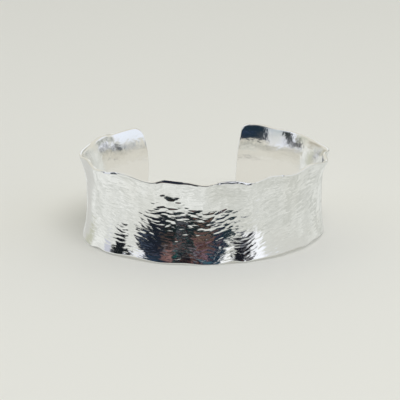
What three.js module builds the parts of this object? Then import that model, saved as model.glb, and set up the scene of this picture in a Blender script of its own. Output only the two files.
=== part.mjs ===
// An open cuff bracelet of hammered silver sheet, in millimetres with +Z up.
// It stands on its lower edge with the wrist axis upright. Its front faces -Y and its gap faces +Y.
import * as THREE from 'three';

// Driving sizes of the oval, measured on the inside at the waist, where the band is narrowest
const innerWidth = 58;
const innerFrontDepth = 22.2;
const innerBackDepth = 23.6;
const gapWidth = 22.7;
const gapShift = 1.3; // how far the middle of the gap lies to the left, towards -X

// Driving sizes of the sheet
const sheetThickness = 1.0;
const bandWidth = 21.3;

// How far each edge flares out past the waist, and how late the flare begins between waist and edge
const topFlare = 1.6;
const bottomFlare = 1.1;
const flarePower = 3.0;

// Height of the hand-worked waves along both edges
const edgeWave = 0.7;

// Rounding of the four corners at the gap, how far each end bows towards the gap,
// and how much farther the foot of the right end reaches than its top
const cornerRadius = 2.1;
const leftEndBow = 1.5;
const rightEndBow = 0.4;
const rightEndSlant = 1.6;

// Fineness of the faceted solid
const stationCount = 140;
const cornerSteps = 3;
const middleSteps = 6;

// Crests and dips of the top edge, from the left end round the front to the right end.
// at: share of the length, rise: share of edgeWave, flare: share of topFlare
const topEdge = [
  { at: 0.000, rise: 0.0, flare: 0.9 },
  { at: 0.026, rise: 0.4, flare: 1.0 },
  { at: 0.069, rise: 0.0, flare: 1.1 },
  { at: 0.096, rise: 0.9, flare: 0.9 },
  { at: 0.141, rise: -0.1, flare: 1.0 },
  { at: 0.196, rise: 0.0, flare: 1.2 },
  { at: 0.241, rise: 1.1, flare: 0.65 },
  { at: 0.277, rise: 0.0, flare: 1.0 },
  { at: 0.333, rise: 1.2, flare: 1.0 },
  { at: 0.386, rise: -0.5, flare: 1.1 },
  { at: 0.408, rise: 0.5, flare: 0.9 },
  { at: 0.441, rise: 0.2, flare: 1.0 },
  { at: 0.475, rise: -0.8, flare: 1.1 },
  { at: 0.506, rise: 0.2, flare: 0.9 },
  { at: 0.527, rise: 0.1, flare: 1.0 },
  { at: 0.548, rise: -0.9, flare: 1.1 },
  { at: 0.588, rise: 0.5, flare: 0.9 },
  { at: 0.629, rise: -0.3, flare: 1.1 },
  { at: 0.673, rise: 0.9, flare: 0.9 },
  { at: 0.723, rise: -0.7, flare: 1.4 },
  { at: 0.747, rise: 0.3, flare: 0.7 },
  { at: 0.769, rise: 0.1, flare: 1.3 },
  { at: 0.816, rise: -0.4, flare: 0.9 },
  { at: 0.891, rise: 0.1, flare: 1.0 },
  { at: 0.921, rise: -0.2, flare: 1.0 },
  { at: 0.956, rise: 0.5, flare: 0.9 },
  { at: 1.000, rise: 0.0, flare: 0.9 },
];

// The same for the bottom edge, where flare is a share of bottomFlare.
// Two rows in turn with no rise are a level stretch that the cuff stands on.
const bottomEdge = [
  { at: 0.000, rise: 0.0, flare: 1.0 },
  { at: 0.061, rise: 0.0, flare: 1.1 },
  { at: 0.101, rise: 0.8, flare: 0.9 },
  { at: 0.141, rise: 0.3, flare: 1.0 },
  { at: 0.181, rise: 0.7, flare: 1.1 },
  { at: 0.221, rise: 0.0, flare: 1.3 },
  { at: 0.253, rise: 0.0, flare: 1.3 },
  { at: 0.277, rise: 0.8, flare: 1.0 },
  { at: 0.295, rise: 0.4, flare: 1.1 },
  { at: 0.349, rise: 1.1, flare: 0.9 },
  { at: 0.403, rise: 0.3, flare: 1.1 },
  { at: 0.439, rise: 0.5, flare: 1.0 },
  { at: 0.475, rise: 0.0, flare: 1.1 },
  { at: 0.493, rise: 0.0, flare: 1.1 },
  { at: 0.521, rise: 0.9, flare: 0.9 },
  { at: 0.539, rise: 0.3, flare: 1.0 },
  { at: 0.581, rise: 0.9, flare: 1.0 },
  { at: 0.646, rise: 1.5, flare: 0.9 },
  { at: 0.663, rise: 1.2, flare: 1.0 },
  { at: 0.691, rise: 1.6, flare: 0.8 },
  { at: 0.746, rise: 0.7, flare: 0.8 },
  { at: 0.791, rise: 0.0, flare: 0.9 },
  { at: 0.841, rise: 0.0, flare: 1.0 },
  { at: 0.881, rise: 0.8, flare: 0.9 },
  { at: 0.921, rise: 0.0, flare: 1.0 },
  { at: 1.000, rise: 0.0, flare: 1.0 },
];

// The inner line of the waist, seen from above: an oval with a deeper back, open at the gap
class WaistLine extends THREE.Curve {
  constructor() {
    super();
    this.arcLengthDivisions = 600;
    this.startAngle = Math.asin((gapWidth / 2 + gapShift) / (innerWidth / 2)) - Math.PI;
    this.endAngle = Math.PI - Math.asin((gapWidth / 2 - gapShift) / (innerWidth / 2));
  }

  getPoint(share, target = new THREE.Vector2()) {
    const angle = THREE.MathUtils.lerp(this.startAngle, this.endAngle, share);
    const backness = (1 - Math.cos(angle)) / 2;
    const depth = THREE.MathUtils.lerp(innerFrontDepth, innerBackDepth, backness);
    return target.set((innerWidth / 2) * Math.sin(angle), -depth * Math.cos(angle));
  }
}

const waistLine = new WaistLine();
const stripLength = waistLine.getLength();

// Value of one column of an edge table at a share of the length, with level crests and dips
function edgeValue(table, column, at) {
  const next = Math.max(1, table.findIndex((row) => row.at >= at));
  const from = table[next - 1];
  const to = table[next];
  const blend = THREE.MathUtils.smoothstep(at, from.at, to.at);
  return THREE.MathUtils.lerp(from[column], to[column], blend);
}

// How far an end stands back from its outermost line, at a share of the band's width above the bottom
function cornerInset(rise) {
  const fromEdge = Math.min(rise, 1 - rise) * bandWidth;
  const inCorner = Math.max(cornerRadius - fromEdge, 0);
  return cornerRadius - Math.sqrt(cornerRadius ** 2 - inCorner ** 2);
}

function leftInset(rise) {
  return cornerInset(rise) + leftEndBow * (2 * rise - 1) ** 2;
}

function rightInset(rise) {
  return cornerInset(rise) + rightEndBow * (2 * rise - 1) ** 2 + rightEndSlant * rise;
}

// Shares of the band's width at which the rows of the mesh run, closer together round the corners
function rowRises() {
  const cornerShare = cornerRadius / bandWidth;
  const lower = [];
  for (let step = 0; step < cornerSteps; step += 1) {
    lower.push(cornerShare * (1 - Math.cos((step / cornerSteps) * (Math.PI / 2))));
  }
  const middle = [];
  for (let step = 0; step <= middleSteps; step += 1) {
    middle.push(THREE.MathUtils.lerp(cornerShare, 1 - cornerShare, step / middleSteps));
  }
  const upper = lower.map((rise) => 1 - rise).reverse();
  return [...lower, ...middle, ...upper];
}

// A point of the wall: at along the strip, rise across it, and depth into the sheet from its outer face
function wallPoint(at, rise, depth) {
  const spot = waistLine.getPointAt(at);
  const along = waistLine.getTangentAt(at);
  const fromWaist = 2 * rise - 1;
  const table = fromWaist > 0 ? topEdge : bottomEdge;
  const edgeFlare = fromWaist > 0 ? topFlare : bottomFlare;
  const flare = edgeFlare * edgeValue(table, 'flare', at) * Math.abs(fromWaist) ** flarePower;
  const outward = sheetThickness - depth + flare;
  const bottom = edgeWave * edgeValue(bottomEdge, 'rise', at);
  const top = bandWidth + edgeWave * edgeValue(topEdge, 'rise', at);
  return new THREE.Vector3(
    spot.x + along.y * outward,
    spot.y - along.x * outward,
    THREE.MathUtils.lerp(bottom, top, rise),
  );
}

// Outer and inner face as two grids of points, joined along both edges and both ends
function bandGeometry() {
  const rises = rowRises();
  const rowCount = rises.length;
  const points = [];
  for (const depth of [0, sheetThickness]) {
    for (let station = 0; station <= stationCount; station += 1) {
      for (const rise of rises) {
        const start = leftInset(rise) / stripLength;
        const end = 1 - rightInset(rise) / stripLength;
        const at = THREE.MathUtils.lerp(start, end, station / stationCount);
        points.push(wallPoint(at, rise, depth));
      }
    }
  }
  const outer = (station, row) => station * rowCount + row;
  const inner = (station, row) => (stationCount + 1) * rowCount + outer(station, row);
  const triangles = [];
  const addQuad = (a, b, c, d) => triangles.push(a, b, c, a, c, d);
  const last = rowCount - 1;
  for (let i = 0; i < stationCount; i += 1) {
    for (let j = 0; j < last; j += 1) {
      addQuad(outer(i, j), outer(i + 1, j), outer(i + 1, j + 1), outer(i, j + 1));
      addQuad(inner(i, j), inner(i, j + 1), inner(i + 1, j + 1), inner(i + 1, j));
    }
    addQuad(outer(i, 0), inner(i, 0), inner(i + 1, 0), outer(i + 1, 0));
    addQuad(outer(i, last), outer(i + 1, last), inner(i + 1, last), inner(i, last));
  }
  for (let j = 0; j < last; j += 1) {
    const n = stationCount;
    addQuad(outer(0, j), outer(0, j + 1), inner(0, j + 1), inner(0, j));
    addQuad(outer(n, j), inner(n, j), inner(n, j + 1), outer(n, j + 1));
  }
  const geometry = new THREE.BufferGeometry().setFromPoints(points);
  geometry.setIndex(triangles);
  geometry.computeVertexNormals();
  return geometry;
}

function silver() {
  return new THREE.MeshStandardMaterial({ color: 0xe6e4df, roughness: 0.15, metalness: 1 });
}

// The cuff stands on the ground with the middle of its footprint at the origin
function cuff() {
  const geometry = bandGeometry();
  geometry.computeBoundingBox();
  const middle = geometry.boundingBox.getCenter(new THREE.Vector3());
  const mesh = new THREE.Mesh(geometry, silver());
  mesh.name = 'cuff';
  mesh.position.set(-middle.x, -middle.y, -geometry.boundingBox.min.z);
  return mesh;
}

const bracelet = new THREE.Group();
bracelet.add(cuff());

export default bracelet;
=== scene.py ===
"""The looks of a hammered silver cuff bracelet, standing on a pale floor under soft light."""
import math

import bpy
import numpy as np
from mathutils import Matrix, Vector


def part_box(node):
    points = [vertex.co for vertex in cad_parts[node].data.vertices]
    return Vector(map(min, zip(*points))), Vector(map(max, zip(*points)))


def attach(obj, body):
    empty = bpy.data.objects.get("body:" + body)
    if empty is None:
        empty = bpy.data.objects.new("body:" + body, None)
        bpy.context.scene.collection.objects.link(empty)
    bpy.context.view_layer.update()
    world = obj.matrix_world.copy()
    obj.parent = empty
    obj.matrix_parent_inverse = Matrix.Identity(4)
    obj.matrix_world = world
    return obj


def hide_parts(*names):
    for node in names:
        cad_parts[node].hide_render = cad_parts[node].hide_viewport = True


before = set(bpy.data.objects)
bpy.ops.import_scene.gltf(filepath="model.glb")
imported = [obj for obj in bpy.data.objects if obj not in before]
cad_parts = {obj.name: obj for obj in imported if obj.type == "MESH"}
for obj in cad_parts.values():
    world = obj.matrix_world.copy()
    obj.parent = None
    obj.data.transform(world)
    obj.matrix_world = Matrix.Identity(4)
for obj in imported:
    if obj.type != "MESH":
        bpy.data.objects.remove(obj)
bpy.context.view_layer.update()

MM = 0.001

# Driving sizes of the band, in metres, as in the solid. Only FLARE_POWER and RIGHT_CORNER_RADIUS
# are a little smaller here, matched more closely to the photo
INNER_WIDTH = 58 * MM
INNER_FRONT_DEPTH = 22.2 * MM
INNER_BACK_DEPTH = 23.6 * MM
GAP_WIDTH = 22.7 * MM
GAP_SHIFT = 1.3 * MM
SHEET_THICKNESS = 1.0 * MM
BAND_WIDTH = 21.3 * MM
TOP_FLARE = 1.6 * MM
BOTTOM_FLARE = 1.1 * MM
FLARE_POWER = 2.4
EDGE_WAVE = 0.7 * MM
LEFT_CORNER_RADIUS = 2.1 * MM
RIGHT_CORNER_RADIUS = 1.5 * MM
LEFT_END_BOW = 1.5 * MM
RIGHT_END_BOW = 0.4 * MM
RIGHT_END_SLANT = 1.6 * MM

# Crests and dips of the two edges, from the left end round the front to the right end:
# share of the length, rise as a share of EDGE_WAVE, flare as a share of the edge's own flare.
# As in the solid, apart from larger flares in the last two rows of the top edge
TOP_EDGE = np.array([
    (0.000, 0.0, 0.90), (0.026, 0.4, 1.00), (0.069, 0.0, 1.10), (0.096, 0.9, 0.90),
    (0.141, -0.1, 1.00), (0.196, 0.0, 1.20), (0.241, 1.1, 0.65), (0.277, 0.0, 1.00),
    (0.333, 1.2, 1.00), (0.386, -0.5, 1.10), (0.408, 0.5, 0.90), (0.441, 0.2, 1.00),
    (0.475, -0.8, 1.10), (0.506, 0.2, 0.90), (0.527, 0.1, 1.00), (0.548, -0.9, 1.10),
    (0.588, 0.5, 0.90), (0.629, -0.3, 1.10), (0.673, 0.9, 0.90), (0.723, -0.7, 1.40),
    (0.747, 0.3, 0.70), (0.769, 0.1, 1.30), (0.816, -0.4, 0.90), (0.891, 0.1, 1.00),
    (0.921, -0.2, 1.00), (0.956, 0.5, 1.10), (1.000, 0.0, 1.20),
])
BOTTOM_EDGE = np.array([
    (0.000, 0.0, 1.00), (0.061, 0.0, 1.10), (0.101, 0.8, 0.90), (0.141, 0.3, 1.00),
    (0.181, 0.7, 1.10), (0.221, 0.0, 1.30), (0.253, 0.0, 1.30), (0.277, 0.8, 1.00),
    (0.295, 0.4, 1.10), (0.349, 1.1, 0.90), (0.403, 0.3, 1.10), (0.439, 0.5, 1.00),
    (0.475, 0.0, 1.10), (0.493, 0.0, 1.10), (0.521, 0.9, 0.90), (0.539, 0.3, 1.00),
    (0.581, 0.9, 1.00), (0.646, 1.5, 0.90), (0.663, 1.2, 1.00), (0.691, 1.6, 0.80),
    (0.746, 0.7, 0.80), (0.791, 0.0, 0.90), (0.841, 0.0, 1.00), (0.881, 0.8, 0.90),
    (0.921, 0.0, 1.00), (1.000, 0.0, 1.00),
])

# Fineness of the visible mesh. Every INNER_ROW_STEP-th middle row runs on over the inner face
STATIONS = 360
FRONT_CROWDING = 0.35
MIDDLE_ROWS = 200
INNER_ROW_STEP = 5
EDGE_STEPS = 5
EDGE_ROUNDING = 0.25 * MM

# Hammer marks on the outer face: short troughs that run round the band and fan out to both sides.
# A coarse and a fine set lie over each other
MARK_SEED = 11
COARSE_MARKS = {
    "pitch_along": 1.9 * MM, "pitch_across": 0.85 * MM,
    "half_length": (0.9 * MM, 1.8 * MM), "half_height": (0.40 * MM, 0.75 * MM),
    "depth": (0.016 * MM, 0.042 * MM), "lean": 0.030, "turn": math.radians(9), "at_foot": 0.35,
}
FINE_MARKS = {
    "pitch_along": 1.0 * MM, "pitch_across": 0.46 * MM,
    "half_length": (0.45 * MM, 0.95 * MM), "half_height": (0.20 * MM, 0.36 * MM),
    "depth": (0.005 * MM, 0.012 * MM), "lean": 0.030, "turn": math.radians(12), "at_foot": 1.0,
}

# How far the marks fan out to each side, and the share of it that is left at the foot, the fan's
# middle as a share of the length and its reach, the height below which marks are calmer, and how
# far from its middle a blow can cut, in half lengths and half heights together
MARK_FAN_LEFT = math.radians(22)
MARK_FAN_RIGHT = math.radians(28)
MARK_FAN_FOOT = 0.3
MARK_FAN_MIDDLE = 0.45
MARK_FAN_REACH = 12 * MM
MARK_CALM_HEIGHT = 0.4 * BAND_WIDTH
MARK_CUT_REACH = 3

# Stronger single blows that stand out on the front:
# share of the length, share of the width, half length, half height and lean of each
STRONG_DEPTH = 0.075 * MM
STRONG_TURN = 0.14
STRONG_MARKS = (
    (0.4185, 0.755, 1.35 * MM, 1.20 * MM, -0.205),
    (0.4066, 0.800, 1.0 * MM, 0.60 * MM, -0.30),
    (0.4185, 0.868, 1.1 * MM, 0.50 * MM, -0.25),
    (0.4295, 0.730, 0.9 * MM, 0.40 * MM, -0.20),
    (0.3992, 0.672, 1.2 * MM, 0.45 * MM, -0.18),
    (0.4197, 0.650, 1.2 * MM, 0.45 * MM, -0.16),
    (0.4583, 0.650, 1.8 * MM, 0.50 * MM, -0.17),
    (0.5031, 0.632, 1.6 * MM, 0.45 * MM, -0.15),
)

# Hand-filed bevel along the outside of the top rim: share of the length, share of the full bevel
RIM_BEVEL_DEPTH = 0.40 * MM
RIM_BEVEL_REACH = 0.60 * MM
RIM_BEVEL = np.array([
    (0.000, 0.3), (0.100, 0.6), (0.180, 0.2), (0.290, 0.2), (0.299, 1.0), (0.322, 0.95), (0.338, 0.2),
    (0.356, 0.4), (0.394, 0.4), (0.408, 1.0), (0.417, 1.2), (0.434, 1.15), (0.444, 0.6), (0.475, 0.35),
    (0.488, 0.1), (0.498, 0.9), (0.506, 1.15), (0.517, 1.25), (0.526, 1.1), (0.533, 0.88), (0.548, 0.88),
    (0.556, 0.1), (0.603, 0.1), (0.607, 1.2), (0.611, 0.1), (0.720, 0.5), (0.760, 0.2), (0.860, 0.6),
    (1.000, 0.3),
])

# Soft swell of both faces, of many waves laid over each other
SWELL_SEED = 5
SWELL_WAVES = 14
SWELL_OUTSIDE = 0.012 * MM
SWELL_INSIDE = 0.005 * MM
SWELL_LENGTH = (6 * MM, 16 * MM)

# Small shallow hollows left on the inner face
HOLLOW_DEPTH = 0.05 * MM

# Camera: its direction round the wrist axis, its height above the horizon, how far it stands from
# a point on the axis, and how far right of and above that point the middle of the picture lies
VIEW_AZIMUTH = math.radians(-5.9)
VIEW_ELEVATION = math.radians(19.3)
VIEW_DISTANCE = 0.390
VIEW_CENTRE_HEIGHT = 11 * MM
VIEW_AIM_RIGHT = -1.25 * MM
VIEW_AIM_UP = -2.4 * MM
LENS = 137.5

FLOOR_SIZE = 6.0
FLOOR_COLOUR = (0.82, 0.82, 0.79, 1)

# The glowing card inside the cuff, a painted reflection that lights nothing: its glow, its reach past
# the waist line, its corners and its height
CARD_GLOW = (0.72, 0.71, 0.65, 1)
CARD_REACH = 1.04
CARD_CORNERS = 72
CARD_HEIGHT = 0.02 * MM

SOFTBOX_SIZE = 0.5
SOFTBOX_POWER = 2.0
SOFTBOX_COLOUR = (1.0, 0.99, 0.97)
SOFTBOX_PLACE = (0.12, -0.35, 0.75)


def wrist_angles():
    """Angles round the oval, zero at the front, at which the band starts and ends."""
    half = INNER_WIDTH / 2
    start = math.asin((GAP_WIDTH / 2 + GAP_SHIFT) / half) - math.pi
    end = math.pi - math.asin((GAP_WIDTH / 2 - GAP_SHIFT) / half)
    return start, end


def waist_points(angles):
    """The inner line of the waist, seen from above."""
    backness = (1 - np.cos(angles)) / 2
    depth = INNER_FRONT_DEPTH + (INNER_BACK_DEPTH - INNER_FRONT_DEPTH) * backness
    return np.stack([INNER_WIDTH / 2 * np.sin(angles), -depth * np.cos(angles)], -1)


class Waist:
    """The waist line by its own length: where a share of it lies, and which way is out."""

    def __init__(self, steps=6000):
        angles = np.linspace(*wrist_angles(), steps)
        points = waist_points(angles)
        lengths = np.hypot(*np.diff(points, axis=0).T)
        run = np.concatenate([[0], np.cumsum(lengths)])
        self.length = run[-1]
        self.shares = run / run[-1]
        self.angles = angles

    def at(self, share):
        angle = np.interp(share, self.shares, self.angles)
        step = 1e-4
        along = waist_points(angle + step) - waist_points(angle - step)
        along /= np.linalg.norm(along, axis=-1, keepdims=True)
        outward = np.stack([along[..., 1], -along[..., 0]], -1)
        return waist_points(angle), outward


WAIST = Waist()


def edge_value(table, column, share):
    """A column of an edge table at a share of the length, level at its crests and dips."""
    after = np.clip(np.searchsorted(table[:, 0], share), 1, len(table) - 1)
    before = after - 1
    blend = (share - table[before, 0]) / (table[after, 0] - table[before, 0])
    blend = np.clip(blend, 0, 1)
    blend = blend * blend * (3 - 2 * blend)
    return table[before, column] + (table[after, column] - table[before, column]) * blend


def end_bows(rise):
    """How far each end line stands back from its outermost point, without the corner rounding."""
    bow = (2 * rise - 1) ** 2
    return LEFT_END_BOW * bow, RIGHT_END_BOW * bow + RIGHT_END_SLANT * rise


def corner_inset(rise, radius):
    from_edge = np.minimum(rise, 1 - rise) * BAND_WIDTH
    in_corner = np.maximum(radius - from_edge, 0)
    return radius - np.sqrt(radius ** 2 - in_corner ** 2)


def rounded_steps(reach):
    """Distances from a rounded edge at which the mesh has lines, closest at the edge itself."""
    turn = np.linspace(0, math.pi / 2, EDGE_STEPS + 1)
    return reach * (1 - np.cos(turn))


def row_rises():
    near = rounded_steps(EDGE_ROUNDING) / BAND_WIDTH
    middle = np.linspace(near[-1], 1 - near[-1], MIDDLE_ROWS + 1)
    return np.concatenate([near[:-1], middle, 1 - near[:-1][::-1]])


def grid():
    """Shares of the length and rises across the band at every mesh point, row by row."""
    rises = row_rises()
    near = rounded_steps(EDGE_ROUNDING)
    left, right = end_bows(rises)
    left = left + corner_inset(rises, LEFT_CORNER_RADIUS)
    right = right + corner_inset(rises, RIGHT_CORNER_RADIUS)
    even = np.linspace(0, 1, STATIONS + 1)
    crowded = even + FRONT_CROWDING / (2 * math.pi) * np.sin(2 * math.pi * even)
    shares = []
    for i in range(len(rises)):
        start = left[i]
        end = WAIST.length - right[i]
        middle = start + near[-1] + (end - start - 2 * near[-1]) * crowded
        line = np.concatenate([start + near[:-1], middle, end - near[:-1][::-1]])
        shares.append(line / WAIST.length)
    shares = np.array(shares)
    return shares, np.repeat(rises[:, None], shares.shape[1], axis=1)


def from_outline(share, rise):
    """Distance of each point from the nearest edge, end or rounded corner of the flat strip."""
    left, right = end_bows(rise)
    from_edge = np.minimum(rise, 1 - rise) * BAND_WIDTH
    run = share * WAIST.length
    from_end = np.minimum(run - left, WAIST.length - right - run)
    radius = np.where(share < 0.5, LEFT_CORNER_RADIUS, RIGHT_CORNER_RADIUS)
    in_corner = (from_edge < radius) & (from_end < radius)
    rounded = radius - np.hypot(radius - from_edge, radius - from_end)
    return np.maximum(np.where(in_corner, rounded, np.minimum(from_edge, from_end)), 0)


def middle_face(share, rise):
    """Points halfway through the sheet, with the level directions that point out of the cuff."""
    spot, outward = WAIST.at(share)
    from_waist = 2 * rise - 1
    edge_flare = np.where(
        from_waist > 0,
        TOP_FLARE * edge_value(TOP_EDGE, 2, share),
        BOTTOM_FLARE * edge_value(BOTTOM_EDGE, 2, share),
    )
    out = SHEET_THICKNESS / 2 + edge_flare * np.abs(from_waist) ** FLARE_POWER
    low = EDGE_WAVE * edge_value(BOTTOM_EDGE, 1, share)
    high = BAND_WIDTH + EDGE_WAVE * edge_value(TOP_EDGE, 1, share)
    height = low + (high - low) * rise
    points = np.concatenate([spot + outward * out[..., None], height[..., None]], -1)
    outward = np.concatenate([outward, np.zeros_like(height)[..., None]], -1)
    return points, outward


def random_marks(kind, rng):
    """Blows of one kind in jittered lanes all over the strip."""
    lanes = int(BAND_WIDTH / kind["pitch_across"]) + 3
    blows = int(WAIST.length / kind["pitch_along"]) + 3
    marks = []
    for lane in range(lanes):
        for blow in range(blows):
            x = (blow - 1 + 0.5 * (lane % 2) + rng.uniform(-0.5, 0.5)) * kind["pitch_along"]
            y = (lane - 1 + rng.uniform(-0.5, 0.5)) * kind["pitch_across"]
            calm = near_foot(y, kind["at_foot"])
            marks.append((
                x, y, rng.uniform(*kind["half_length"]), rng.uniform(*kind["half_height"]) * calm,
                rng.uniform(*kind["depth"]) * calm, rng.normal(0, kind["lean"]) * calm,
                rng.normal(0, kind["turn"]),
            ))
    return marks


def strong_marks():
    marks = []
    for share, rise, half_length, half_height, lean in STRONG_MARKS:
        x = share * WAIST.length
        y = rise * BAND_WIDTH
        marks.append((x, y, half_length, half_height, STRONG_DEPTH, lean, STRONG_TURN))
    return marks


def fan_turn(x, y):
    """How far the marks at a place turn away from level: outwards to both sides, less near the foot."""
    side = math.tanh((x - MARK_FAN_MIDDLE * WAIST.length) / MARK_FAN_REACH)
    widest = MARK_FAN_RIGHT if side > 0 else MARK_FAN_LEFT
    return widest * side * near_foot(y, MARK_FAN_FOOT)


def near_foot(y, least):
    """A share that grows from its least value at the lower edge to one at MARK_CALM_HEIGHT."""
    return min(least + (1 - least) * max(y, 0) / MARK_CALM_HEIGHT, 1)


def carve(marks, along, across):
    """Depth below the untouched face. Each blow cuts a shallow trough, and neighbours meet in ridges."""
    relief = np.zeros_like(along)
    line = along[along.shape[0] // 2]
    for x, y, half_length, half_height, depth, lean, own_turn in marks:
        turn = fan_turn(x, y) + own_turn
        reach = 2 * half_length
        columns = slice(*np.searchsorted(line, (x - reach, x + reach)))
        dx = along[:, columns] - x
        dy = across[:, columns] - y
        u = (dx * math.cos(turn) + dy * math.sin(turn)) / half_length
        v = (dy * math.cos(turn) - dx * math.sin(turn)) / half_height
        trough = depth * (u * u + v * v - 1) + lean * v * half_height
        trough = np.where(np.abs(u) + np.abs(v) < MARK_CUT_REACH, trough, 0)
        relief[:, columns] = np.minimum(relief[:, columns], trough)
    return relief


def hammer_relief(along, across):
    rng = np.random.default_rng(MARK_SEED)
    coarse = carve(random_marks(COARSE_MARKS, rng) + strong_marks(), along, across)
    fine = carve(random_marks(FINE_MARKS, rng), along, across)
    return coarse + fine


def swell(along, across, seed, height):
    """A faint slow unevenness that hand work leaves in the sheet."""
    rng = np.random.default_rng(seed)
    relief = np.zeros_like(along)
    for _ in range(SWELL_WAVES):
        length = rng.uniform(*SWELL_LENGTH)
        turn = rng.uniform(0, math.pi)
        phase = rng.uniform(0, 2 * math.pi)
        run = along * math.cos(turn) + across * math.sin(turn)
        relief += height * np.sin(run / length * 2 * math.pi + phase)
    return relief


def rim_bevel(share, rise):
    """How much the outer face draws in towards the top rim."""
    from_top = (1 - rise) * BAND_WIDTH
    near = np.clip(1 - from_top / RIM_BEVEL_REACH, 0, 1)
    return RIM_BEVEL_DEPTH * np.interp(share, RIM_BEVEL[:, 0], RIM_BEVEL[:, 1]) * near


def end_fan(inner, low, high, end, near):
    """Triangles between one end, where every row arrives, and two inner rows that stop beside it."""
    rim = [inner[row][end] for row in range(low, high + 1)]
    tip = inner[low][near]
    triangles = [[rim[k], rim[k + 1], tip] for k in range(len(rim) - 1)]
    triangles.append([rim[-1], inner[high][near], tip])
    return triangles if near > end else [triangle[::-1] for triangle in triangles]


def band_faces(rows, columns, inner_rows):
    """Quads of both faces, and the fans that join the inner face's fewer rows to the two ends."""
    last = columns - 1
    outer = np.arange(rows * columns).reshape(rows, columns)
    inner = outer.copy()
    inner[1:-1, 1:-1] += rows * columns
    inner = inner.tolist()
    corners = (outer[:-1, :-1], outer[:-1, 1:], outer[1:, 1:], outer[1:, :-1])
    faces = np.stack([corner.ravel() for corner in corners], -1).tolist()
    for low, high in zip(inner_rows[:-1], inner_rows[1:]):
        for i in range(1, last - 1):
            faces.append([inner[low][i], inner[high][i], inner[high][i + 1], inner[low][i + 1]])
        faces.extend(end_fan(inner, low, high, 0, 1))
        faces.extend(end_fan(inner, low, high, last, last - 1))
    return faces


def kept_inner_rows(rows):
    """Every row round the two edges, and every INNER_ROW_STEP-th one between them."""
    middle = range(EDGE_STEPS, EDGE_STEPS + MIDDLE_ROWS + 1, INNER_ROW_STEP)
    return [*range(EDGE_STEPS), *middle, *range(rows - EDGE_STEPS, rows)]


def sheet_faces(share, rise):
    """Points of the outer and of the inner face, which round off towards each other at the edges."""
    middle, outward = middle_face(share, rise)
    depth_in = np.clip(from_outline(share, rise) / EDGE_ROUNDING, 0, 1)
    fullness = np.sqrt(1 - (1 - depth_in) ** 2)
    along = share * WAIST.length
    across = rise * BAND_WIDTH
    out = SHEET_THICKNESS / 2 + hammer_relief(along, across) - rim_bevel(share, rise)
    out = (out + swell(along, across, MARK_SEED, SWELL_OUTSIDE)) * fullness
    back = (SHEET_THICKNESS / 2 + swell(along, across, SWELL_SEED, SWELL_INSIDE)) * fullness
    return middle + outward * out[..., None], middle - outward * back[..., None]


def cuff_mesh():
    share, rise = grid()
    rows, columns = share.shape
    outer, inner = sheet_faces(share, rise)
    points = np.concatenate([outer.reshape(-1, 3), inner.reshape(-1, 3)])
    faces = band_faces(rows, columns, kept_inner_rows(rows))
    used = np.unique(np.concatenate(faces))
    place = np.full(len(points), -1)
    place[used] = np.arange(len(used))
    place = place.tolist()
    mesh = bpy.data.meshes.new("hammered_cuff")
    mesh.from_pydata(points[used].tolist(), [], [[place[i] for i in face] for face in faces])
    mesh.validate()
    add_strip_map(mesh, np.stack([share, rise], -1).reshape(-1, 2), used, rows * columns)
    mesh.polygons.foreach_set("use_smooth", [True] * len(mesh.polygons))
    return mesh


def add_strip_map(mesh, flat, used, shift):
    """A UV map that unrolls the strip: the outer face in the lower half, the inner face in the upper."""
    inside = used >= shift
    uv = flat[used % shift].copy()
    uv[:, 1] = uv[:, 1] / 2 + 0.5 * inside
    loops = np.empty(len(mesh.loops), dtype=np.int64)
    mesh.loops.foreach_get("vertex_index", loops)
    layer = mesh.uv_layers.new(name="strip")
    layer.data.foreach_set("uv", uv[loops].ravel())


def centre_on_footprint(mesh):
    """Moves the mesh to where the solid stands and gives the move back."""
    low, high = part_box("cuff")
    points = np.empty(len(mesh.vertices) * 3)
    mesh.vertices.foreach_get("co", points)
    points = points.reshape(-1, 3)
    middle = (points.max(0) + points.min(0)) / 2
    solid = (Vector(low) + Vector(high)) / 2
    move = Vector((solid.x - middle[0], solid.y - middle[1], low[2]))
    mesh.transform(Matrix.Translation(move))
    mesh.update()
    return move


class Nodes:
    """Short ways to add and join nodes of one tree."""

    def __init__(self, tree):
        self.tree = tree
        tree.nodes.clear()

    def add(self, kind, **values):
        node = self.tree.nodes.new(kind)
        for name, value in values.items():
            setattr(node, name, value)
        return node

    def link(self, source, target):
        self.tree.links.new(source, target)

    def math(self, operation, a, b=None):
        node = self.add("ShaderNodeMath", operation=operation)
        for socket, value in zip(node.inputs, (a, b)):
            if value is None:
                continue
            if isinstance(value, (int, float)):
                socket.default_value = value
            else:
                self.link(value, socket)
        return node.outputs[0]

    def map_range(self, value, low, high, to_low, to_high, smooth=False):
        node = self.add("ShaderNodeMapRange")
        node.interpolation_type = "SMOOTHSTEP" if smooth else "LINEAR"
        self.link(value, node.inputs["Value"])
        names = ("From Min", "From Max", "To Min", "To Max")
        for name, number in zip(names, (low, high, to_low, to_high)):
            node.inputs[name].default_value = number
        return node.outputs[0]

    def mix(self, share, a, b, blend="MIX"):
        node = self.add("ShaderNodeMix", data_type="RGBA", blend_type=blend)
        sockets = [s for s in node.inputs if s.type == "RGBA"]
        self.link(share, node.inputs[0])
        for socket, value in zip(sockets, (a, b)):
            if isinstance(value, tuple):
                socket.default_value = (*value, 1)
            else:
                self.link(value, socket)
        return [s for s in node.outputs if s.type == "RGBA"][0]

    def noise(self, vector, scale, detail=2.0):
        node = self.add("ShaderNodeTexNoise")
        self.link(vector, node.inputs["Vector"])
        node.inputs["Scale"].default_value = scale
        node.inputs["Detail"].default_value = detail
        return node.outputs["Fac"]

    def stretched(self, vector, scale):
        node = self.add("ShaderNodeMapping")
        self.link(vector, node.inputs["Vector"])
        node.inputs["Scale"].default_value = scale
        return node.outputs["Vector"]


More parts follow.
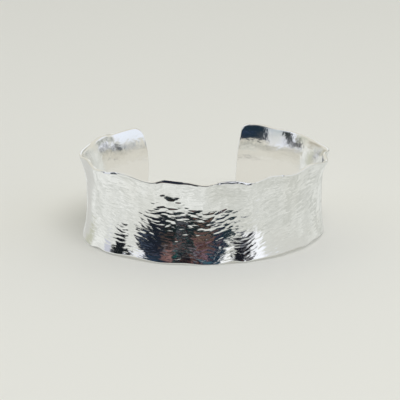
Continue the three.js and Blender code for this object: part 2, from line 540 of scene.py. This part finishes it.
# The silver's colour where clean and where tarnished, and its roughness where glossiest and dullest
SILVER_CLEAN = (0.955, 0.950, 0.935)
SILVER_TARNISHED = (0.925, 0.915, 0.885)
SILVER_ROUGHNESS = (0.035, 0.10)
SILVER_DULLER_INSIDE = 0.04

# Fineness of its patterns as noise scales, the noise values between which tarnish and roughness go
# from their least to their most, and how deep the fine scratches look
TARNISH_SCALE = 90
TARNISH_RANGE = (0.45, 0.75)
SMUDGE_SCALE = 160
SMUDGE_RANGE = (0.7, 1.3)
HOLLOW_SCALE = 800
SCRATCH_STRETCH = (60, 900, 1)
SCRATCH_DEPTH = 0.02 * MM
SCRATCH_STRENGTH = 0.12


def silver_relief(nodes, hollows, scratches):
    """The shading direction over shallow hollows with fine scratches on top."""
    deep = nodes.add("ShaderNodeBump")
    deep.inputs["Distance"].default_value = HOLLOW_DEPTH
    nodes.link(hollows, deep.inputs["Height"])
    fine = nodes.add("ShaderNodeBump")
    fine.inputs["Strength"].default_value = SCRATCH_STRENGTH
    fine.inputs["Distance"].default_value = SCRATCH_DEPTH
    nodes.link(scratches, fine.inputs["Height"])
    nodes.link(deep.outputs["Normal"], fine.inputs["Normal"])
    return fine.outputs["Normal"]


def silver():
    """Bright silver: a little warm tarnish, smudged gloss, fine scratches and a hollowed inner face."""
    material = bpy.data.materials.new("bright_silver")
    material.use_nodes = True
    nodes = Nodes(material.node_tree)
    place = nodes.add("ShaderNodeTexCoord").outputs["Object"]
    strip = nodes.add("ShaderNodeUVMap", uv_map="strip").outputs["UV"]
    side = nodes.add("ShaderNodeSeparateXYZ")
    nodes.link(strip, side.inputs[0])
    inside = nodes.math("GREATER_THAN", side.outputs[1], 0.5)
    stain = nodes.noise(place, TARNISH_SCALE, 4)
    tarnish = nodes.map_range(stain, *TARNISH_RANGE, 0, 1, smooth=True)
    smudge = nodes.noise(place, SMUDGE_SCALE, 5)
    scratches = nodes.noise(nodes.stretched(strip, SCRATCH_STRETCH), 1.0, 3)
    hollows = nodes.math("MULTIPLY", nodes.noise(place, HOLLOW_SCALE, 2), inside)
    rough = nodes.math("ADD", smudge, scratches)
    rough = nodes.map_range(rough, *SMUDGE_RANGE, *SILVER_ROUGHNESS)
    rough = nodes.math("ADD", rough, nodes.math("MULTIPLY", inside, SILVER_DULLER_INSIDE))
    shader = nodes.add("ShaderNodeBsdfPrincipled")
    shader.inputs["Metallic"].default_value = 1.0
    nodes.link(nodes.mix(tarnish, SILVER_CLEAN, SILVER_TARNISHED), shader.inputs["Base Color"])
    nodes.link(rough, shader.inputs["Roughness"])
    nodes.link(silver_relief(nodes, hollows, scratches), shader.inputs["Normal"])
    output = nodes.add("ShaderNodeOutputMaterial")
    nodes.link(shader.outputs["BSDF"], output.inputs["Surface"])
    return material


def make_cuff():
    mesh = cuff_mesh()
    move = centre_on_footprint(mesh)
    mesh.materials.append(silver())
    cuff = bpy.data.objects.new("hammered_cuff", mesh)
    bpy.context.collection.objects.link(cuff)
    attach(cuff, "root")
    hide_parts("cuff")
    return move


def floor_material():
    material = bpy.data.materials.new("pale_floor")
    material.use_nodes = True
    nodes = Nodes(material.node_tree)
    shader = nodes.add("ShaderNodeBsdfPrincipled")
    shader.inputs["Base Color"].default_value = FLOOR_COLOUR
    shader.inputs["Roughness"].default_value = 0.9
    shader.inputs["Specular IOR Level"].default_value = 0.1
    output = nodes.add("ShaderNodeOutputMaterial")
    nodes.link(shader.outputs["BSDF"], output.inputs["Surface"])
    return material


def make_floor():
    mesh = bpy.data.meshes.new("floor")
    half = FLOOR_SIZE / 2
    corners = [(-half, -half, 0), (half, -half, 0), (half, half, 0), (-half, half, 0)]
    mesh.from_pydata(corners, [], [(0, 1, 2, 3)])
    mesh.materials.append(floor_material())
    floor = bpy.data.objects.new("floor", mesh)
    bpy.context.collection.objects.link(floor)
    floor.visible_glossy = False


def glowing_card_material():
    material = bpy.data.materials.new("glowing_reflection_card")
    material.use_nodes = True
    nodes = Nodes(material.node_tree)
    # Glow that only the silver mirrors: a painted reflection, not a lamp
    shader = nodes.add("ShaderNodeEmission")
    shader.inputs["Color"].default_value = CARD_GLOW
    output = nodes.add("ShaderNodeOutputMaterial")
    nodes.link(shader.outputs["Emission"], output.inputs["Surface"])
    return material


def make_glowing_card(move):
    """A glowing card on the floor inside the cuff, which only the silver sees: a painted reflection that
    lights nothing.
    """
    angles = np.linspace(-math.pi, math.pi, CARD_CORNERS, endpoint=False)
    oval = waist_points(angles) * CARD_REACH + np.array([move.x, move.y])
    mesh = bpy.data.meshes.new("inner_glowing_card")
    corners = [(x, y, CARD_HEIGHT) for x, y in oval.tolist()]
    mesh.from_pydata(corners, [], [tuple(range(CARD_CORNERS))])
    mesh.materials.append(glowing_card_material())
    card = bpy.data.objects.new("inner_glowing_card", mesh)
    bpy.context.collection.objects.link(card)
    card.visible_camera = False
    card.visible_diffuse = False
    card.visible_shadow = False


# Ground and room that the silver mirrors. The ground is mottled from light to dark and shaded on
# the right. Directions run from the front (0) to the right (90), and each pair of angles says, in
# degrees, where one part passes into the next
ROOM_BELOW_LIGHT = (0.852, 0.870, 0.848)
ROOM_BELOW_DARK = (0.615, 0.633, 0.603)
ROOM_RIGHT_SHADE = (0.90, 0.90, 0.885)
MOTTLE_STRETCH = (5, 5, 24)
MOTTLE_RANGE = (0.35, 0.65)
ROOM_FRONT = (0.86, 0.90, 1.00)
ROOM_BACK = (0.72, 0.71, 0.64)
ROOM_HORIZON = (-5, 3)
ROOM_FRONT_TOP = (35, 60)
ROOM_FRONT_SIDES = (85, 115)
ROOM_SHADE_SIDE = (-5, 25)

# Patches of the room, later ones over earlier ones: direction, height above the horizon, half width
# and half height, all in degrees, then the colour and the softness of the edge
ROOM_PATCHES = (
    # Pale stretches near the horizon, and greyer ones that the sides and the ends mirror
    (76, -1, 33, 9, (0.64, 0.65, 0.615), 0.5),
    (36, 0, 5, 15, (1.03, 1.06, 1.13), 1.0),
    (15, 6, 4, 9, (1.00, 1.02, 1.05), 0.3),
    (64, 15, 14, 10, (0.84, 0.90, 1.00), 0.5),
    (102, 4.5, 5, 3, (0.33, 0.35, 0.33), 0.4),
    (-55, 6, 3, 5, (0.78, 0.80, 0.98), 0.5),
    (-92, -3, 6, 6, (0.56, 0.58, 0.66), 0.5),
    (-134, -9, 14, 5, (0.51, 0.52, 0.43), 0.8),
    (-152, -19, 13, 9, (0.59, 0.595, 0.57), 0.8),
    (-128, 4, 12, 5, (0.45, 0.42, 0.35), 0.5),
    (150, 14, 14, 10, (0.42, 0.43, 0.40), 0.6),
    (173, 21, 7, 7, (0.92, 0.96, 1.00), 0.4),
    (-105, 12, 10, 9, (0.57, 0.58, 0.50), 0.6),
    (-68, 9, 12, 5, (0.66, 0.68, 0.67), 0.6),
    (-72, 20, 15, 8, (0.50, 0.55, 0.57), 0.6),
    (-99, 5, 4, 3.5, (0.30, 0.31, 0.27), 0.4),
    # The dark middle, its ragged outline and what the top rim mirrors
    (-17, 13, 27, 34.5, (0.016, 0.021, 0.034), 0.15),
    (-58, 33, 14, 5, (0.10, 0.11, 0.11), 0.5),
    (-46, 16.5, 12, 14, (0.014, 0.028, 0.044), 0.2),
    (-44.5, -9, 10.5, 5, (0.012, 0.015, 0.024), 0.15),
    (-38, -17.5, 10, 8, (0.012, 0.017, 0.024), 0.15),
    (-39, -6, 11, 7, (0.012, 0.016, 0.026), 0.15),
    (-10, -18, 21, 6, (0.012, 0.020, 0.022), 0.2),
    (15, -16.5, 7.5, 4.5, (0.012, 0.026, 0.034), 0.3),
    (13, -10.5, 3.5, 3, (0.012, 0.028, 0.045), 0.3),
    (17, 29, 9, 9, (0.020, 0.021, 0.026), 0.2),
    (-7, 15.5, 16, 5, (0.42, 0.42, 0.41), 0.5),
    # Lighter, warmer and bluer pieces within the dark middle
    (-46, -8, 4, 2, (0.06, 0.08, 0.12), 0.4),
    (-42, 3, 5, 2, (0.04, 0.05, 0.08), 0.4),
    (-42, 14, 4, 2.5, (0.03, 0.05, 0.10), 0.5),
    (-53, 9, 4, 5, (0.05, 0.06, 0.07), 0.5),
    (-28, -9, 8, 4, (0.075, 0.058, 0.048), 0.4),
    (-28, -3, 7, 4, (0.09, 0.066, 0.062), 0.4),
    (-29, 4.5, 7, 5, (0.26, 0.15, 0.14), 0.3),
    (-15, -5, 5, 7, (0.065, 0.060, 0.060), 0.3),
    (-20, 2, 1.5, 2, (0.015, 0.10, 0.09), 0.3),
    (-9, 6, 9, 5.5, (0.006, 0.004, 0.007), 0.3),
    (0, -13, 7, 4, (0.19, 0.125, 0.10), 0.3),
    (-9, -9, 2, 1.6, (0.012, 0.07, 0.06), 0.3),
    (0, -5.5, 7, 3, (0.26, 0.13, 0.125), 0.3),
    (-2, 1.5, 4, 3.5, (0.24, 0.14, 0.17), 0.3),
    (2, 10, 8, 4, (0.040, 0.10, 0.14), 0.3),
    (8, -5, 3.5, 15, (0.012, 0.028, 0.050), 0.3),
    # The smaller dark patches to the right and left
    (28.5, -11, 4, 4, (0.16, 0.17, 0.20), 0.5),
    (25, 2.5, 6.5, 11, (0.010, 0.011, 0.016), 0.2),
    (28, 4, 0.7, 1.0, (0.25, 0.13, 0.09), 0.3),
    (-74.5, -2, 12.5, 5, (0.010, 0.013, 0.014), 0.2),
    (-74, -8, 6, 4.5, (0.010, 0.013, 0.016), 0.2),
    (-84, 13.5, 5.5, 7.5, (0.012, 0.018, 0.018), 0.2),
    (-86, 6.5, 3.5, 5, (0.012, 0.018, 0.018), 0.2),
)

# The dark middle is broken up into small pieces. The area is given as for a patch, a piece's size
# in degrees, and the share says how fully a piece covers what lies under it
MOSAIC_AREA = (-13, -3, 22, 15)
MOSAIC_SOFTNESS = 0.3
MOSAIC_WIDTH = 4.5
MOSAIC_HEIGHT = 2.2
MOSAIC_SHARE = 0.85
MOSAIC_COLOURS = (
    (0.003, 0.004, 0.006), (0.012, 0.018, 0.036), (0.005, 0.034, 0.038), (0.055, 0.042, 0.034),
    (0.002, 0.002, 0.003), (0.25, 0.125, 0.115), (0.004, 0.005, 0.006), (0.21, 0.215, 0.25),
)

# How square the patches are, and how far, in degrees, and how finely their outlines wander
PATCH_POWER = 3.0
PATCH_RAGGED = 5.0
PATCH_RAGGED_SCALE = 9


def room_base(nodes, direction, azimuth, height):
    """Mottled pale ground, a bright room in front and a creamy one behind and overhead."""
    flattened = nodes.stretched(direction, MOTTLE_STRETCH)
    mottle = nodes.map_range(nodes.noise(flattened, 1, 4), *MOTTLE_RANGE, 0, 1, smooth=True)
    ground = nodes.mix(mottle, ROOM_BELOW_DARK, ROOM_BELOW_LIGHT)
    to_right = nodes.map_range(azimuth, *ROOM_SHADE_SIDE, 0, 1, smooth=True)
    ground = nodes.mix(to_right, ground, ROOM_RIGHT_SHADE, "MULTIPLY")
    turned = nodes.math("ABSOLUTE", azimuth)
    frontal = nodes.map_range(turned, *ROOM_FRONT_SIDES, 1, 0, smooth=True)
    low = nodes.map_range(height, *ROOM_FRONT_TOP, 1, 0, smooth=True)
    room = nodes.mix(nodes.math("MULTIPLY", frontal, low), ROOM_BACK, ROOM_FRONT)
    above = nodes.map_range(height, *ROOM_HORIZON, 0, 1, smooth=True)
    return nodes.mix(above, ground, room)


def patch_cover(nodes, azimuth, height, place, softness):
    """How fully each direction lies in a patch with a soft edge."""
    at, up, half_width, half_height = place
    across = nodes.math("DIVIDE", nodes.math("SUBTRACT", azimuth, float(at)), float(half_width))
    along = nodes.math("DIVIDE", nodes.math("SUBTRACT", height, float(up)), float(half_height))
    across = nodes.math("POWER", nodes.math("ABSOLUTE", across), PATCH_POWER)
    along = nodes.math("POWER", nodes.math("ABSOLUTE", along), PATCH_POWER)
    apart = nodes.math("ADD", across, along)
    return nodes.map_range(apart, 1 - 2 * softness, 1 + 2 * softness, 1, 0, smooth=True)


def mosaic(nodes, azimuth, height, colour):
    """Breaks the dark middle up into small pieces of several colours."""
    place = nodes.add("ShaderNodeCombineXYZ")
    nodes.link(nodes.math("DIVIDE", azimuth, MOSAIC_WIDTH), place.inputs[0])
    nodes.link(nodes.math("DIVIDE", height, MOSAIC_HEIGHT), place.inputs[1])
    cells = nodes.add("ShaderNodeTexVoronoi")
    nodes.link(place.outputs[0], cells.inputs["Vector"])
    cells.inputs["Scale"].default_value = 1.0
    split = nodes.add("ShaderNodeSeparateColor")
    nodes.link(cells.outputs["Color"], split.inputs[0])
    ramp = nodes.add("ShaderNodeValToRGB")
    ramp.color_ramp.interpolation = "CONSTANT"
    nodes.link(split.outputs[0], ramp.inputs[0])
    steps = ramp.color_ramp.elements
    while len(steps) < len(MOSAIC_COLOURS):
        steps.new(1.0)
    for i, piece in enumerate(MOSAIC_COLOURS):
        steps[i].position = i / len(MOSAIC_COLOURS)
        steps[i].color = (*piece, 1)
    chosen = nodes.map_range(split.outputs[1], 0.45, 0.55, 0, MOSAIC_SHARE)
    cover = patch_cover(nodes, azimuth, height, MOSAIC_AREA, MOSAIC_SOFTNESS)
    return nodes.mix(nodes.math("MULTIPLY", chosen, cover), colour, ramp.outputs[0])


def make_room():
    """Soft studio light all round, with darker and brighter patches for the silver to mirror."""
    world = bpy.data.worlds.new("studio")
    bpy.context.scene.world = world
    world.use_nodes = True
    nodes = Nodes(world.node_tree)
    direction = nodes.add("ShaderNodeTexCoord").outputs["Generated"]
    split = nodes.add("ShaderNodeSeparateXYZ")
    nodes.link(direction, split.inputs[0])
    x, y, z = split.outputs
    azimuth = nodes.math("DEGREES", nodes.math("ARCTAN2", x, nodes.math("MULTIPLY", y, -1.0)))
    height = nodes.math("DEGREES", nodes.math("ARCSINE", z))
    ragged = nodes.math("SUBTRACT", nodes.noise(direction, PATCH_RAGGED_SCALE, 3), 0.5)
    ragged = nodes.math("MULTIPLY", ragged, PATCH_RAGGED)
    azimuth = nodes.math("ADD", azimuth, ragged)
    height = nodes.math("SUBTRACT", height, ragged)
    colour = room_base(nodes, direction, azimuth, height)
    for *place, patch, softness in ROOM_PATCHES:
        cover = patch_cover(nodes, azimuth, height, place, softness)
        colour = nodes.mix(cover, colour, patch)
    colour = mosaic(nodes, azimuth, height, colour)
    background = nodes.add("ShaderNodeBackground")
    nodes.link(colour, background.inputs["Color"])
    output = nodes.add("ShaderNodeOutputWorld")
    nodes.link(background.outputs["Background"], output.inputs["Surface"])


def make_softbox():
    light = bpy.data.lights.new("softbox", "AREA")
    light.shape = "DISK"
    light.size = SOFTBOX_SIZE
    light.energy = SOFTBOX_POWER
    light.color = SOFTBOX_COLOUR
    softbox = bpy.data.objects.new("softbox", light)
    bpy.context.collection.objects.link(softbox)
    softbox.location = SOFTBOX_PLACE
    softbox.visible_glossy = False
    softbox.rotation_mode = "QUATERNION"
    softbox.rotation_quaternion = Vector(softbox.location).to_track_quat("Z", "Y")


def make_camera():
    data = bpy.data.cameras.new("camera")
    data.lens = LENS
    data.clip_start = 0.01
    data.clip_end = 10
    camera = bpy.data.objects.new("camera", data)
    bpy.context.collection.objects.link(camera)
    back = Vector((
        math.sin(VIEW_AZIMUTH) * math.cos(VIEW_ELEVATION),
        -math.cos(VIEW_AZIMUTH) * math.cos(VIEW_ELEVATION),
        math.sin(VIEW_ELEVATION),
    ))
    right = Vector((math.cos(VIEW_AZIMUTH), math.sin(VIEW_AZIMUTH), 0))
    up = back.cross(right)
    centre = Vector((0, 0, VIEW_CENTRE_HEIGHT))
    camera.location = centre + back * VIEW_DISTANCE
    aim = centre + right * VIEW_AIM_RIGHT + up * VIEW_AIM_UP
    camera.rotation_mode = "QUATERNION"
    camera.rotation_quaternion = (camera.location - aim).to_track_quat("Z", "Y")
    bpy.context.scene.camera = camera


make_camera()
make_room()
make_softbox()
make_floor()
# The cuff, and the glowing card inside it that paints a reflection for the silver
make_glowing_card(make_cuff())
bpy.context.scene.view_settings.view_transform = "Standard"
